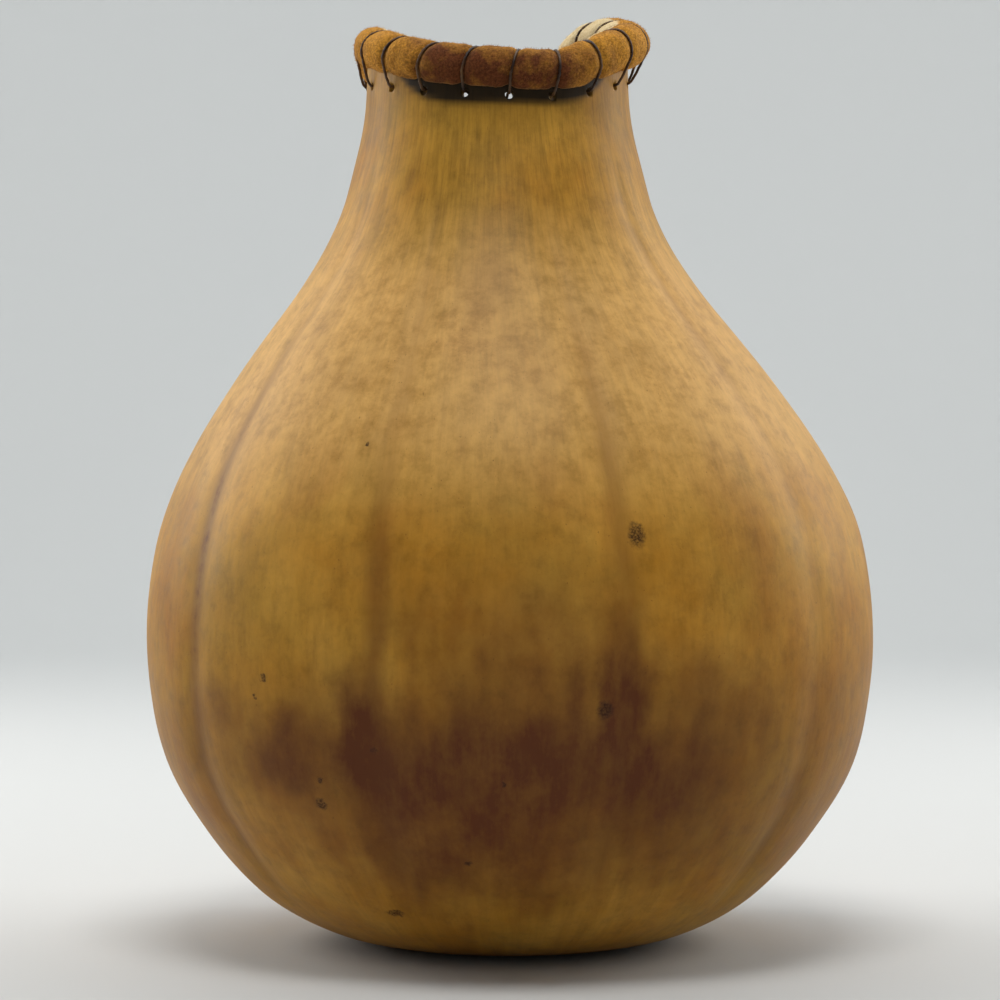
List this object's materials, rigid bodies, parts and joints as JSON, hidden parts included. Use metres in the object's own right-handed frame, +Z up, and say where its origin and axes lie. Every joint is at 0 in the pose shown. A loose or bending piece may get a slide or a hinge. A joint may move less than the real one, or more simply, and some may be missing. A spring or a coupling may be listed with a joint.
{
  "type": "dried bottle gourd",
  "caption": "Hollow dried bottle gourd made into a vessel: round creased belly, slim neck, wavy mouth bound with suede and lashed with waxed thread; stands upright, holds stems or dry goods.",
  "frame": {"origin": "centre of the flat spot that the gourd stands on", "axes": "+Z up along the gourd towards its mouth; -Y is the front, where the rim is low and the lashing shows; +X is to the right seen from the front"},
  "size_m": [0.2304, 0.2304, 0.2997],
  "materials": {
    "gourd_rind": "satin",
    "suede": "napped",
    "waxed_thread": "waxed"
  },
  "bodies": {
    "root": {"gourd_body": "gourd_rind", "suede_binding": "suede", "lashing_thread": "waxed_thread"}
  },
  "joints": []
}
